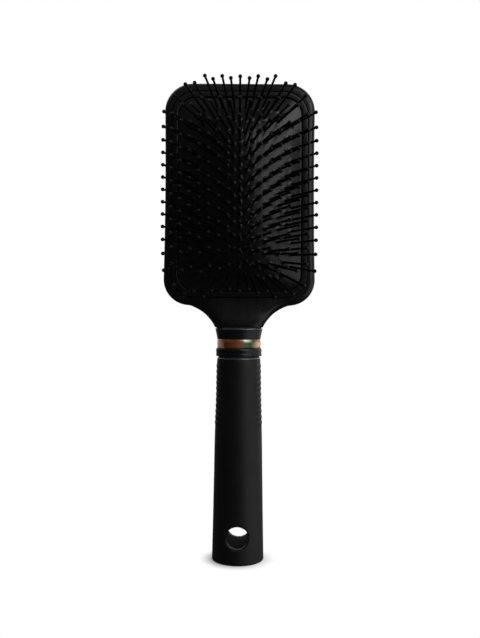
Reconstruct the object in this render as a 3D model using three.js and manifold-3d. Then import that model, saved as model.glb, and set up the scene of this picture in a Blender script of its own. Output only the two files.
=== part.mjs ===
// Paddle hair brush standing on the flat end of its handle.
// Millimetres, +Z up along the handle, pins facing -Y, origin at the centre of the handle's end.
import * as THREE from 'three';
import { mergeVertices } from 'three/addons/utils/BufferGeometryUtils.js';
import Module from 'manifold-3d';

const wasm = await Module();
wasm.setup();

// ---- Driving dimensions -------------------------------------------------------------------

const GAP = 0.3; // clearance left between neighbouring pieces

// Paddle, its outline in the XZ plane
const HEAD_TOP_Z = 250;
const HEAD_HALF_TOP = 39.3;
const HEAD_HALF_WAIST = 39.05;
const HEAD_HALF_BOTTOM = 39.7;
const HEAD_TOP_RADIUS = 14.5;
const HEAD_BOTTOM_RADIUS = 13.5;
const HEAD_BOTTOM_Z = 134;
const HEAD_FRONT_Y = -6;
const HEAD_BACK_Y = 8;
const RIM_RADIUS = 3;
const BACK_ROUND_DEPTH = 6;
const BACK_ROUND_INSET = 9;
const RIM_BACK_Y = 4; // where the body behind the rounded front rim ends
const SHELL_OVERLAP = 0.6; // of the back shell over the rim body

// Neck and tang
const NECK_FOOT_Z = 122.3;
const NECK_FOOT_HALF = 9.6; // half its depth at the foot
const NECK_SQUARENESS = 4; // 2 would make its sections ellipses
const NECK_FLAT_Z = 142; // where the neck is as flat as the paddle
const NECK_FLAT_HALF = 6.2;
const NECK_RISE = 1; // of its middle towards the back
const NECK_PROFILE = [ // half width at each height above the foot
  [12.6, 0], [13.4, 1.4], [15.2, 4.4], [17.9, 7.6], [20.8, 10.9], [22, 15.5], [19, 21.5], [0, 24.5],
];
const FLARE_START = [10.8, NECK_FOOT_Z]; // the paddle's outline between the neck and its lower edge
const FLARE_BENDS = [[12.6, 126.8], [21, 132.8]];
const TANG_RADIUS = 6;
const TANG_END_Z = 68;
const TANG_CHAMFER = 1;
const TANG_ROOT = 4; // how far it runs up into the neck

// Pad opening, a rounded rectangle
const PAD_Z = 191.6;
const OPENING_HALF_X = 32.3;
const OPENING_HALF_Z = 50.6;
const OPENING_RADIUS = 9.3;

// Front frame, cushion flange and the pocket behind them
const FRAME_WIDTH = 3.2;
const FRAME_THICKNESS = 1.8;
const RUBBER = 1.2;
const POCKET_GROW = 1; // of the pocket past the opening
const POCKET_FLOOR_Y = 4.5;
const CARRIER_THICKNESS = 1.5;

// Cushion crown
const CROWN_BASE_Y = -5.5;
const CROWN_HEIGHT = 11;
const CROWN_POWER_X = 2;
const CROWN_POWER_Z = 4;
const BREATHER_RADIUS = 1;
const BREATHER_DROP = 46.8; // below the pad's centre
const BREATHER_LENGTH = 12;

// Pin field
const ROWS_EACH_SIDE = 8;
const ROW_PITCH = 3.36;
const FIELD_RISE = 0.65; // of the middle row's middle above the pad's centre
const ROW_DROP = 2; // of the outermost rows' middle below the middle row's
const PIN_LENGTH = 23; // from the rubber to the end of the ball
const PIN_RADIUS = 0.62;
const BALL_RADIUS = 1.0;
const BALL_NECK = 2.2; // where a pin starts to widen, in ball radii from its end
const PIN_SIDES = 4;
const SIDE_LEAN = THREE.MathUtils.degToRad(30); // of the outermost rows
const SIDE_LEAN_POWER = 0.85;
const END_LEAN = THREE.MathUtils.degToRad(31); // of a pin END_LEAN_AT from the pad's centre
const END_LEAN_AT = 45.5;
const END_LEAN_POWER = 6;
const RUNNER_FRONT_Y = -6.6;
const RUNNER_THICKNESS = 1.4;
const RUNNER_WIDTH = 2;
const RUNNER_OVERHANG = 1.4;
const SLOT_DEPTH = 30;
const SLOT_MARGIN = 1.4;

// Pin rows from the middle outwards: intervals between pins, and half the row's span
const ROWS = [
  { intervals: 14, half: 43.6 },
  { intervals: 13, half: 43.2 },
  { intervals: 14, half: 43.9 },
  { intervals: 13, half: 43.4 },
  { intervals: 14, half: 44.6 },
  { intervals: 13, half: 43.2 },
  { intervals: 14, half: 43.4 },
  { intervals: 13, half: 41.0 },
  { intervals: 12, half: 36.4 },
];

// Rings and collars on the tang: their bore, and outsides as [radius, z] from below
const RING_BORE = TANG_RADIUS + GAP;
const UPPER_TRIM = [[12.6, 121.3], [12.6, 121.4], [11.9, 122]];
const UPPER_COLLAR = [[11.3, 116.25], [11.5, 117.5], [11.8, 119], [12.2, 120.6], [12.35, 121]];
const ACCENT_RING = [[11.2, 111.75], [11.42, 112.3], [11.42, 115.4], [11.2, 115.95]];
const LOWER_COLLAR = [
  [11.6, 107.25], [12, 107.5], [11.8, 108.85], [12, 110.4], [11.6, 111.25], [11.4, 111.45],
];
const LOWER_TRIM = [[11.55, 105.95], [11.55, 106.1], [10.7, 106.95]];

// Handle, a rubber sleeve over a core
const GRIP_TOP_Z = 105.65;
const GRIP_OUTSIDE = [
  [13.3, 0], [13.62, 0.5], [13.25, 18], [12.8, 44],
  [12.37, 69], [11.85, 83], [11.55, 102], [11.4, GRIP_TOP_Z],
];
const GRIP_FLOOR = 3;
const GRIP_BORE = 10;
const GRIP_BORE_TAPER_Z = 60; // the bore narrows above this
const GRIP_BORE_TAPER = 1.4;
const CORE_TOP_Z = GRIP_TOP_Z - GAP;
const SOCKET_FLOOR_Z = 30;
const HANG_HOLE_Z = 14;
const HANG_HOLE_RADIUS = 5.85;
const HANG_HOLE_SIDES = 24;
const HANG_HOLE_LENGTH = 40;
const HANG_HOLE_TURN = THREE.MathUtils.degToRad(-1.8); // of its axis about Z

// Fineness of the curved outlines
const CORNER_STEPS = 6;
const BEVEL_STEPS = 2;
const LATHE_SIDES = 30;
const TANG_SIDES = 20;
const DOME_SIDES = 32;
const DOME_RINGS = [1, 0.88, 0.7, 0.5, 0.26, 0]; // shares of the way to the pad's edge

// ---- Solids ---------------------------------------------------------------------------------

function solidOf(geometry) {
  const bare = geometry.clone();
  bare.deleteAttribute('normal');
  bare.deleteAttribute('uv');
  const merged = mergeVertices(bare, 1e-4);
  const corners = merged.index.array;
  const triVerts = [];
  for (let i = 0; i < corners.length; i += 3) {
    const [a, b, c] = corners.slice(i, i + 3);
    if (a !== b && b !== c && c !== a) triVerts.push(a, b, c);
  }
  const vertProperties = Float32Array.from(merged.attributes.position.array);
  return new wasm.Manifold(
    new wasm.Mesh({ numProp: 3, vertProperties, triVerts: Uint32Array.from(triVerts) }),
  );
}

function geometryOf(solid) {
  const { vertProperties, triVerts } = solid.getMesh();
  const geometry = new THREE.BufferGeometry();
  geometry.setAttribute('position', new THREE.BufferAttribute(vertProperties, 3));
  geometry.setIndex(new THREE.BufferAttribute(triVerts, 1));
  geometry.computeVertexNormals();
  return geometry;
}

// A shape drawn in X and Z, made solid from yFront to yBack, with an optional rounded edge.
function slab(shape, yFront, yBack, round = null) {
  const options = { depth: yBack - yFront, bevelEnabled: false, curveSegments: CORNER_STEPS };
  if (round) {
    Object.assign(options, {
      depth: yBack - yFront - 2 * round.depth,
      bevelEnabled: true,
      bevelThickness: round.depth,
      bevelSize: round.inset,
      bevelOffset: -round.inset,
      bevelSegments: BEVEL_STEPS,
    });
  }
  const geometry = new THREE.ExtrudeGeometry(shape, options);
  geometry.rotateX(Math.PI / 2);
  geometry.translate(0, yBack - (round ? round.depth : 0), 0);
  return solidOf(geometry);
}

// A profile of [radius, z] pairs turned about Z.
function turned(profile, sides = LATHE_SIDES) {
  const points = profile.map(([radius, z]) => new THREE.Vector2(radius, z));
  const geometry = new THREE.LatheGeometry(points, sides);
  geometry.rotateX(Math.PI / 2);
  return solidOf(geometry);
}

// ---- Outlines ---------------------------------------------------------------------------------

// The paddle seen from the front, down to where it runs into the neck.
function paddleOutline() {
  const topRun = HEAD_HALF_TOP - HEAD_TOP_RADIUS;
  const sideTop = HEAD_TOP_Z - HEAD_TOP_RADIUS;
  const sideBottom = HEAD_BOTTOM_Z + HEAD_BOTTOM_RADIUS;
  const bottomRun = HEAD_HALF_BOTTOM - HEAD_BOTTOM_RADIUS;
  const waistZ = (sideTop + sideBottom) / 2;
  const waist = 2 * HEAD_HALF_WAIST - (HEAD_HALF_TOP + HEAD_HALF_BOTTOM) / 2;
  const shape = new THREE.Shape();
  const [startX, startZ] = FLARE_START;
  const [[lowX, lowZ], [highX, highZ]] = FLARE_BENDS;
  shape.moveTo(startX, startZ);
  shape.bezierCurveTo(lowX, lowZ, highX, highZ, bottomRun, HEAD_BOTTOM_Z);
  shape.absarc(bottomRun, sideBottom, HEAD_BOTTOM_RADIUS, -Math.PI / 2, 0, false);
  shape.quadraticCurveTo(waist, waistZ, HEAD_HALF_TOP, sideTop);
  shape.absarc(topRun, sideTop, HEAD_TOP_RADIUS, 0, Math.PI / 2, false);
  shape.lineTo(-topRun, HEAD_TOP_Z);
  shape.absarc(-topRun, sideTop, HEAD_TOP_RADIUS, Math.PI / 2, Math.PI, false);
  shape.quadraticCurveTo(-waist, waistZ, -HEAD_HALF_BOTTOM, sideBottom);
  shape.absarc(-bottomRun, sideBottom, HEAD_BOTTOM_RADIUS, Math.PI, 1.5 * Math.PI, false);
  shape.bezierCurveTo(-highX, highZ, -lowX, lowZ, -startX, startZ);
  shape.closePath();
  return shape;
}

// The pad opening's rounded rectangle, grown by so many millimetres all round.
function padOutline(grow) {
  const halfX = OPENING_HALF_X + grow;
  const halfZ = OPENING_HALF_Z + grow;
  const radius = OPENING_RADIUS + grow;
  const shape = new THREE.Shape();
  shape.absarc(halfX - radius, PAD_Z - halfZ + radius, radius, -Math.PI / 2, 0, false);
  shape.absarc(halfX - radius, PAD_Z + halfZ - radius, radius, 0, Math.PI / 2, false);
  shape.absarc(-halfX + radius, PAD_Z + halfZ - radius, radius, Math.PI / 2, Math.PI, false);
  shape.absarc(-halfX + radius, PAD_Z - halfZ + radius, radius, Math.PI, 1.5 * Math.PI, false);
  shape.closePath();
  return shape;
}

// How far a ray from the pad's centre at an angle runs to the edge of its rounded rectangle.
function padReach(angle, halfX, halfZ, radius) {
  const c = Math.abs(Math.cos(angle));
  const s = Math.abs(Math.sin(angle));
  const cornerX = halfX - radius;
  const cornerZ = halfZ - radius;
  const toSide = halfX / Math.max(c, 1e-9);
  const toEnd = halfZ / Math.max(s, 1e-9);
  if (toSide * s <= cornerZ) return toSide;
  if (toEnd * c <= cornerX) return toEnd;
  const along = cornerX * c + cornerZ * s;
  return along + Math.sqrt(along * along - cornerX ** 2 - cornerZ ** 2 + radius ** 2);
}

// ---- Head -------------------------------------------------------------------------------------

// Neck: a turned shape with the paddle's flare, squared, and flattened as it rises into the paddle.
function neckSolid() {
  const points = NECK_PROFILE.map(([radius, rise]) => new THREE.Vector2(radius, NECK_FOOT_Z + rise));
  const geometry = new THREE.LatheGeometry([new THREE.Vector2(0, NECK_FOOT_Z), ...points], LATHE_SIDES);
  geometry.rotateX(Math.PI / 2);
  const position = geometry.attributes.position;
  for (let i = 0; i < position.count; i += 1) {
    const share = THREE.MathUtils.smoothstep(position.getZ(i), NECK_FOOT_Z, NECK_FLAT_Z);
    const half = Math.hypot(position.getX(i), position.getY(i));
    const depth = Math.min(half, THREE.MathUtils.lerp(NECK_FOOT_HALF, NECK_FLAT_HALF, share));
    const [x, y] = squared(position.getX(i) / (half || 1), position.getY(i) / (half || 1));
    position.setXY(i, x * half, y * depth + NECK_RISE * share);
  }
  return solidOf(geometry);
}

// Moves a point of the unit circle, or its centre, out to the neck's squarer section.
function squared(x, y) {
  const reach = (Math.abs(x) ** NECK_SQUARENESS + Math.abs(y) ** NECK_SQUARENESS) ** (1 / NECK_SQUARENESS);
  return reach > 0 ? [x / reach, y / reach] : [0, 0];
}

function tangSolid() {
  const rootZ = NECK_FOOT_Z + TANG_ROOT;
  return turned([
    [0, TANG_END_Z],
    [TANG_RADIUS - TANG_CHAMFER, TANG_END_Z],
    [TANG_RADIUS, TANG_END_Z + TANG_CHAMFER],
    [TANG_RADIUS, rootZ],
    [0, rootZ],
  ], TANG_SIDES);
}

function paddleHead() {
  const outline = paddleOutline();
  const rim = slab(outline, HEAD_FRONT_Y, RIM_BACK_Y, { depth: RIM_RADIUS, inset: RIM_RADIUS });
  const shellFrontY = HEAD_BACK_Y - 2 * BACK_ROUND_DEPTH - SHELL_OVERLAP;
  const back = slab(outline, shellFrontY, HEAD_BACK_Y, { depth: BACK_ROUND_DEPTH, inset: BACK_ROUND_INSET });
  const ledgeY = HEAD_FRONT_Y + FRAME_THICKNESS + GAP + RUBBER + GAP;
  const openY = HEAD_FRONT_Y - 1; // clear of the front face
  const rebate = slab(padOutline(FRAME_WIDTH + GAP), openY, ledgeY);
  const pocket = slab(padOutline(POCKET_GROW), openY, POCKET_FLOOR_Y);
  return rim.add(back).add(neckSolid()).add(tangSolid()).subtract(rebate).subtract(pocket);
}

function frontFrame() {
  const shape = padOutline(FRAME_WIDTH);
  shape.holes.push(padOutline(0));
  return slab(shape, HEAD_FRONT_Y, HEAD_FRONT_Y + FRAME_THICKNESS);
}

function padCarrier() {
  const back = POCKET_FLOOR_Y - GAP;
  return slab(padOutline(POCKET_GROW - GAP), back - CARRIER_THICKNESS, back);
}

// ---- Cushion ----------------------------------------------------------------------------------

// Height of the crown over its base, at a place measured from the pad's centre.
function crown(x, z, halfX, halfZ, height) {
  const across = 1 - Math.min(1, Math.abs(x) / halfX) ** CROWN_POWER_X;
  const along = 1 - Math.min(1, Math.abs(z) / halfZ) ** CROWN_POWER_Z;
  return height * across * along;
}

const CUSHION_HALF_X = OPENING_HALF_X - GAP;
const CUSHION_HALF_Z = OPENING_HALF_Z - GAP;

function rubberY(x, z) {
  return CROWN_BASE_Y - crown(x, z, CUSHION_HALF_X, CUSHION_HALF_Z, CROWN_HEIGHT);
}

// A dome over a rounded rectangle that is smaller than the opening by inset, down to yBack.
function domeSolid(inset, height, yBack) {
  const halfX = OPENING_HALF_X - inset;
  const halfZ = OPENING_HALF_Z - inset;
  const radius = OPENING_RADIUS - inset;
  const points = [new THREE.Vector2(0, 0), new THREE.Vector2(1, 0)];
  for (const share of DOME_RINGS) {
    points.push(new THREE.Vector2(share, 1));
  }
  const geometry = new THREE.LatheGeometry(points, DOME_SIDES);
  geometry.rotateX(Math.PI / 2);
  const position = geometry.attributes.position;
  for (let i = 0; i < position.count; i += 1) {
    const angle = Math.atan2(position.getY(i), position.getX(i));
    const share = Math.hypot(position.getX(i), position.getY(i));
    const reach = share * padReach(angle, halfX, halfZ, radius);
    const x = reach * Math.cos(angle);
    const z = reach * Math.sin(angle);
    const front = CROWN_BASE_Y - crown(x, z, halfX, halfZ, height);
    position.setXYZ(i, x, position.getZ(i) > 0.5 ? front : yBack, PAD_Z + z);
  }
  return solidOf(geometry);
}

// Crowned rubber membrane, clamped at its flange and slotted for the pin rows.
function cushion(rows) {
  const flangeFront = HEAD_FRONT_Y + FRAME_THICKNESS + GAP;
  const flange = slab(padOutline(FRAME_WIDTH - GAP / 2), flangeFront, flangeFront + RUBBER);
  const outer = domeSolid(GAP, CROWN_HEIGHT, flangeFront + RUBBER / 2);
  const inner = domeSolid(GAP + RUBBER, CROWN_HEIGHT - RUBBER, flangeFront + RUBBER + 1);
  const breather = new THREE.CylinderGeometry(BREATHER_RADIUS, BREATHER_RADIUS, BREATHER_LENGTH, 8);
  breather.translate(0, CROWN_BASE_Y, PAD_Z - BREATHER_DROP);
  return flange.add(outer).subtract(inner).subtract(solidOf(breather))
    .subtract(wasm.Manifold.union(rows.map(slotSolid)));
}

// ---- Pin field --------------------------------------------------------------------------------

// One row of pins in a plane that leans outwards, side counting rows from the middle one.
function pinRow(side) {
  const { intervals, half } = ROWS[Math.abs(side)];
  const outward = Math.abs(side) / ROWS_EACH_SIDE;
  const lean = Math.sign(side) * SIDE_LEAN * outward ** SIDE_LEAN_POWER;
  const rootY = RUNNER_FRONT_Y + RUNNER_THICKNESS / 2;
  const exitX = side * ROW_PITCH;
  const rootX = exitX - Math.tan(lean) * (rootY - rubberY(exitX, 0));
  const pins = [];
  for (let i = 0; i <= intervals; i += 1) {
    const z = FIELD_RISE - ROW_DROP * outward ** 2 - half + (2 * half * i) / intervals;
    const fan = Math.sign(z) * END_LEAN * (Math.abs(z) / END_LEAN_AT) ** END_LEAN_POWER;
    const way = new THREE.Vector3(Math.tan(lean), -1, Math.tan(fan)).normalize();
    const hidden = rootToRubber(rootX, rootY, z, way);
    const root = new THREE.Vector3(rootX, rootY, PAD_Z + z - hidden * way.z);
    pins.push({ root, way, length: hidden + PIN_LENGTH });
  }
  return { lean, rootX, rootY, pins };
}

// Distance along a pin from its root to the rubber, which it leaves at height z on the pad.
function rootToRubber(rootX, rootY, z, way) {
  let distance = 0;
  for (let pass = 0; pass < 8; pass += 1) {
    distance = (rubberY(rootX + distance * way.x, z) - rootY) / way.y;
  }
  return distance;
}

// The slot that one row needs in the rubber.
function slotSolid({ lean, rootX, rootY, pins }) {
  const width = 2 * (PIN_RADIUS + GAP);
  const exits = pins.map(({ root, way, length }) => root.z + way.z * (length - PIN_LENGTH));
  const [low, high] = [exits[0], exits[exits.length - 1]];
  const geometry = new THREE.BoxGeometry(width, SLOT_DEPTH, high - low + 2 * SLOT_MARGIN);
  geometry.translate(0, -SLOT_DEPTH / 2, 0);
  geometry.rotateZ(lean);
  geometry.translate(rootX, rootY, (low + high) / 2);
  return solidOf(geometry);
}

function pinSolid({ root, way, length }) {
  const points = [
    [0, 0],
    [PIN_RADIUS, 0],
    [PIN_RADIUS, length - BALL_NECK * BALL_RADIUS],
    [BALL_RADIUS, length - BALL_RADIUS],
    [0, length],
  ].map(([radius, along]) => new THREE.Vector2(radius, along));
  const geometry = new THREE.LatheGeometry(points, PIN_SIDES);
  geometry.applyQuaternion(new THREE.Quaternion().setFromUnitVectors(new THREE.Vector3(0, 1, 0), way));
  geometry.translate(root.x, root.y, root.z);
  return solidOf(geometry);
}

// The bar under the rubber that one row of pins stands on.
function runnerSolid({ rootX, rootY, pins }) {
  const low = pins[0].root.z - RUNNER_OVERHANG;
  const high = pins[pins.length - 1].root.z + RUNNER_OVERHANG;
  const geometry = new THREE.BoxGeometry(RUNNER_WIDTH, RUNNER_THICKNESS, high - low);
  geometry.translate(rootX, rootY, (low + high) / 2);
  return solidOf(geometry);
}

function pinStrip(row) {
  return wasm.Manifold.union([runnerSolid(row), ...row.pins.map(pinSolid)]);
}

// ---- Rings on the tang ------------------------------------------------------------------------

// A ring with a plain bore and an outside given as [radius, z] pairs, listed upwards.
function ring(outside) {
  const low = outside[0][1];
  const high = outside[outside.length - 1][1];
  return turned([[RING_BORE, low], ...outside, [RING_BORE, high], [RING_BORE, low]]);
}

// ---- Handle -----------------------------------------------------------------------------------

// The hanging hole, right through the handle, a little askew of Y.
function hangHole() {
  const geometry = new THREE.CylinderGeometry(
    HANG_HOLE_RADIUS, HANG_HOLE_RADIUS, HANG_HOLE_LENGTH, HANG_HOLE_SIDES,
  );
  geometry.rotateZ(HANG_HOLE_TURN);
  geometry.translate(0, 0, HANG_HOLE_Z);
  return solidOf(geometry);
}

function gripSleeve() {
  return turned([
    [0, 0],
    ...GRIP_OUTSIDE,
    [GRIP_BORE - GRIP_BORE_TAPER, GRIP_TOP_Z],
    [GRIP_BORE, GRIP_BORE_TAPER_Z],
    [GRIP_BORE, GRIP_FLOOR],
    [0, GRIP_FLOOR],
  ]).subtract(hangHole());
}

function handleCore() {
  const outer = GRIP_BORE - GAP;
  return turned([
    [0, GRIP_FLOOR + GAP],
    [outer, GRIP_FLOOR + GAP],
    [outer, GRIP_BORE_TAPER_Z],
    [outer - GRIP_BORE_TAPER, CORE_TOP_Z],
    [RING_BORE, CORE_TOP_Z],
    [RING_BORE, SOCKET_FLOOR_Z],
    [0, SOCKET_FLOOR_Z],
  ]).subtract(hangHole());
}

// ---- Materials --------------------------------------------------------------------------------

function finish(color, roughness, metalness = 0) {
  return { color, roughness, metalness };
}

const HEAD_PLASTIC = finish(0x0b0b0c, 0.38);
const FRAME_PLASTIC = finish(0x080808, 0.45);
const PAD_RUBBER = finish(0x0a0a0b, 0.22);
const PIN_NYLON = finish(0x0c0c0d, 0.4);
const TRIM_METAL = finish(0x6c6e72, 0.3, 0.8);
const COLLAR_PLASTIC = finish(0x0d0f13, 0.3);
const ACCENT_FOIL = finish(0xa0603a, 0.3, 0.8);
const GRIP_RUBBER = finish(0x111112, 0.6);
const CORE_PLASTIC = finish(0x1a1a1b, 0.55);

// ---- Assembly ---------------------------------------------------------------------------------

const group = new THREE.Group();

function addPart(name, solid, look) {
  const mesh = new THREE.Mesh(geometryOf(solid), new THREE.MeshStandardMaterial(look));
  mesh.name = name;
  group.add(mesh);
}

const pinRows = [];
for (let side = -ROWS_EACH_SIDE; side <= ROWS_EACH_SIDE; side += 1) {
  pinRows.push(pinRow(side));
}

addPart('paddle_head', paddleHead(), HEAD_PLASTIC);
addPart('front_frame', frontFrame(), FRAME_PLASTIC);
addPart('pad_carrier', padCarrier(), CORE_PLASTIC);
addPart('cushion', cushion(pinRows), PAD_RUBBER);
pinRows.forEach((row, i) => {
  addPart(`pin_strip_${String(i + 1).padStart(2, '0')}`, pinStrip(row), PIN_NYLON);
});
addPart('upper_trim_ring', ring(UPPER_TRIM), TRIM_METAL);
addPart('upper_collar', ring(UPPER_COLLAR), COLLAR_PLASTIC);
addPart('accent_ring', ring(ACCENT_RING), ACCENT_FOIL);
addPart('lower_collar', ring(LOWER_COLLAR), COLLAR_PLASTIC);
addPart('lower_trim_ring', ring(LOWER_TRIM), TRIM_METAL);
addPart('grip_sleeve', gripSleeve(), GRIP_RUBBER);
addPart('handle_core', handleCore(), CORE_PLASTIC);

export default group;
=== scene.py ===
import math

import bpy
import numpy as np
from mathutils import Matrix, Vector


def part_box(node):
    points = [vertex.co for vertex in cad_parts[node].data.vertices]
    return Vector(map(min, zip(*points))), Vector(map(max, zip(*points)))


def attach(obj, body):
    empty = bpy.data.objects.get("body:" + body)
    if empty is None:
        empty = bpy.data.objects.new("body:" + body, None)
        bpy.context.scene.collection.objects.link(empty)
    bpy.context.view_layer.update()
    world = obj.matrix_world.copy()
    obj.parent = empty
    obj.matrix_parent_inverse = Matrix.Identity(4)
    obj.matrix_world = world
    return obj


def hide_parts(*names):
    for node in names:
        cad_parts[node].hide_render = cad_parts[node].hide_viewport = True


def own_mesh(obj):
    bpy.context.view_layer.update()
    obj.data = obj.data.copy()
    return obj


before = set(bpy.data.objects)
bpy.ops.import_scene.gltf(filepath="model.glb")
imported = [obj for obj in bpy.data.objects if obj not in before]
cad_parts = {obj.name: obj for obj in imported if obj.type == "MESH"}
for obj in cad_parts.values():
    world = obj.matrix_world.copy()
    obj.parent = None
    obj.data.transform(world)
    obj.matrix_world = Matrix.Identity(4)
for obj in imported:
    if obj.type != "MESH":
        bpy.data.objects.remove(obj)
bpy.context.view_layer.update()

# Black paddle hair brush, standing on the end of its handle with its pins towards -Y.
# Lengths are in millimetres, in the CAD frame, until mesh_object() turns them into metres. Materials
# # and lamps are in metres.

MM = 0.001
MICROMETRE = 0.000001


def node_box(node):
    """Lowest and highest corner of a CAD node, in millimetres."""
    low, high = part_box(node)
    return np.array(low) / MM, np.array(high) / MM


# ---- Driving sizes, taken from the frame where a node's box gives them ---------------------------

HEAD_LOW, HEAD_HIGH = node_box("paddle_head")
FRAME_LOW, FRAME_HIGH = node_box("front_frame")
CUSHION_LOW = node_box("cushion")[0]
GRIP_LOW, GRIP_HIGH = node_box("grip_sleeve")
CORE_LOW, CORE_HIGH = node_box("handle_core")

GAP = 0.3  # between pieces in the CAD
JOINT_GROW = 0.12  # how far a stacked piece reaches into the CAD's gap at each end

# Paddle
HEAD_TOP_Z = HEAD_HIGH[2]
HALF_BOTTOM = HEAD_HIGH[0]
HALF_TOP = HALF_BOTTOM - 0.4
HALF_WAIST = HALF_BOTTOM - 0.65
TOP_RADIUS = 14.5
BOTTOM_RADIUS = 13.5
BOTTOM_Z = HEAD_TOP_Z - 116.2
FLARE = [(21.2, 10.4), (11.2, 5.4), (10.2, -1.5)]  # the outline's bends to the neck: X, height above its foot
FRONT_Y = FRAME_LOW[1]
BACK_Y = 8
RIM_RADIUS = 3
BACK_ROUND_DEPTH = 6
BACK_ROUND_INSET = 9
BACK_CROWN = 0.7
HEAD_STEP = 0.72  # mesh spacing of the head, and how far its grid runs past it
HEAD_MARGIN = 1.5

# Neck and tang
NECK_FOOT_Z = HEAD_TOP_Z - 127.7
NECK_BLEND = 3
NECK_FOOT_EDGE = 0.4
NECK_TOP = 25  # above the foot
NECK_SHIFT = 22  # height above the foot over which the neck moves 1 mm back
NECK_POWER, NECK_POWER_GAIN, NECK_POWER_RISE = 3.4, 1.4, 5  # how square its section is, and becomes
NECK_WIDTH_KNOTS = [  # half width by height above the foot
    (-3, 12.4), (0, 12.6), (2, 13.5), (4.5, 15.0), (7.6, 17.0), (10.9, 19.6), (15.5, 21), (21, 19), (26, 12),
]
NECK_DEPTH_KNOTS = [  # half depth by height above the foot
    (-3, 10), (0, 9.6), (4, 9), (8, 8.2), (13, 7.2), (19, 6.3), (26, 6),
]
TANG_RADIUS = 6
TANG_END_Z = HEAD_LOW[2]
TANG_EDGE = 0.8
TANG_ROOT = 4  # how far it runs up into the neck

# Pad opening and the pieces clamped in it
PAD_Z = (FRAME_LOW[2] + FRAME_HIGH[2]) / 2
FRAME_WIDTH = 3.2
FRAME_THICKNESS = FRAME_HIGH[1] - FRAME_LOW[1]
OPENING_HALF_X = FRAME_HIGH[0] - FRAME_WIDTH
OPENING_HALF_Z = (FRAME_HIGH[2] - FRAME_LOW[2]) / 2 - FRAME_WIDTH
OPENING_RADIUS = 9.3
RUBBER = 1.2
POCKET_GROW = 1
POCKET_FLOOR_Y = 4.5
FRAME_STEP, FRAME_STEP_DEPTH = 0.5, 0.25  # shallow step beside the rubber
FLANGE_Y = FRONT_Y + FRAME_THICKNESS + GAP  # front of the rubber flange that the frame clamps

# Cushion crown
CROWN_BASE_Y = FRONT_Y + 0.5
CROWN_HEIGHT = CROWN_BASE_Y - CUSHION_LOW[1]
BREATHER_RADIUS = 1
BREATHER_DROP = 46.8
COLLAR_HEIGHT = 0.38
COLLAR_RADIUS = 1.15
SOCKET_RADIUS = 0.8
CUSHION_STEP, HOLLOW_STEP = 0.45, 1.5  # mesh spacing outside and inside
HOLLOW_INSET = 2
HOLLOW_SQUEEZE = (1.04, 1.025)  # the hollow is this much smaller than the crown in X and Z

# Pins
ROWS_EACH_SIDE = 8
ROW_PITCH = 3.36
FIELD_RISE = 0.65
ROW_DROP = 2
PIN_LENGTH = 23
PIN_RADIUS = 0.62
BALL_RADIUS = 1.0
SIDE_LEAN = math.radians(30)
SIDE_LEAN_POWER = 0.85
END_LEAN = math.radians(31)
END_LEAN_AT = 45.5
END_LEAN_POWER = 6
RUNNER_Y = -5.9
RUNNER_THICKNESS = 1.4
RUNNER_WIDTH = 2
RUNNER_OVERHANG = 1.4
RUNNER_EDGE = 0.25
PIN_SIDES = 12
PIN_TAPER = 0.06
ROOT_FLARE = 0.1
NECKING = 3.4  # ball radii between a pin's tip and the end of its shaft
# Pin rows from the middle outwards: intervals between pins, and half the row's span
ROWS = [
    (14, 43.6), (13, 43.2), (14, 43.9), (13, 43.4), (14, 44.6),
    (13, 43.2), (14, 43.4), (13, 41.0), (12, 36.4),
]

# Rings on the tang: outside as [radius, share of the height] pairs upwards, and how rounded its edges are
RING_BORE = TANG_RADIUS + GAP  # also the bore of the socket in the handle
RING_SIDES = 128
UPPER_TRIM = [(12.6, 0), (12.6, 0.12), (11.9, 1)]
UPPER_COLLAR = [(11.45, 0), (11.65, 0.27), (11.95, 0.58), (12.3, 0.92), (12.45, 1)]
ACCENT_BAND = [(11.2, 0), (11.42, 0.15), (11.5, 0.5), (11.42, 0.85), (11.2, 1)]
LOWER_COLLAR = [
    (11.7, 0), (12.1, 0.07), (12.1, 0.2), (11.95, 0.38), (12.06, 0.6), (12.1, 0.75), (11.7, 0.95), (11.5, 1),
]
LOWER_TRIM = [(11.55, 0), (11.55, 0.12), (10.6, 1)]
TRIM_EDGE, COLLAR_EDGE, BAND_EDGE = 0.08, 0.25, 0.3

# Handle
GRIP_TOP_Z = GRIP_HIGH[2]
GRIP_CURVE = [(0, 13.62), (18, 13.25), (44, 12.8), (69, 12.37), (83, 11.85), (102, 11.55), (106, 11.45)]
GRIP_BORE = [(0, 10), (60, 10), (110, 8.4)]
GRIP_FLOOR = 3
GRIP_BASE_EDGE, GRIP_TOP_EDGE = 0.6, 0.5
GRIP_STEP = 0.55  # mesh spacing of the grip, and how far its grid runs past it
GRIP_MARGIN = 1.3
HANG_HOLE_Z = 14
HANG_HOLE_RADIUS = 5.85
HANG_HOLE_EDGE = 0.7
HANG_HOLE_SKEW = math.tan(math.radians(1.8))
RIB_FIRST_Z = 72.2
RIB_PITCH = 2.98
RIB_COUNT = 11
RIB_HEIGHT = 0.26
RIB_SIDE = (7.8, 8.8)  # distance from the middle over which a rib fades in
CORE_TAPER_Z, CORE_TAPER = 60, 1.4
CORE_SOCKET_Z = 30


# ---- Meshes --------------------------------------------------------------------------------------

def mesh_object(name, points, faces, sharp=None):
    """A smooth-shaded object from points in millimetres. Edges steeper than sharp degrees stay crisp."""
    mesh = bpy.data.meshes.new(name)
    mesh.from_pydata(np.asarray(points, float) * MM, [], faces)
    mesh.validate()
    obj = bpy.data.objects.new(name, mesh)
    bpy.context.scene.collection.objects.link(obj)
    shade(obj, sharp)
    return obj


def shade(obj, sharp=None):
    obj.data.shade_smooth()
    if sharp is not None:
        obj.data.set_sharp_from_angle(angle=math.radians(sharp))


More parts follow.
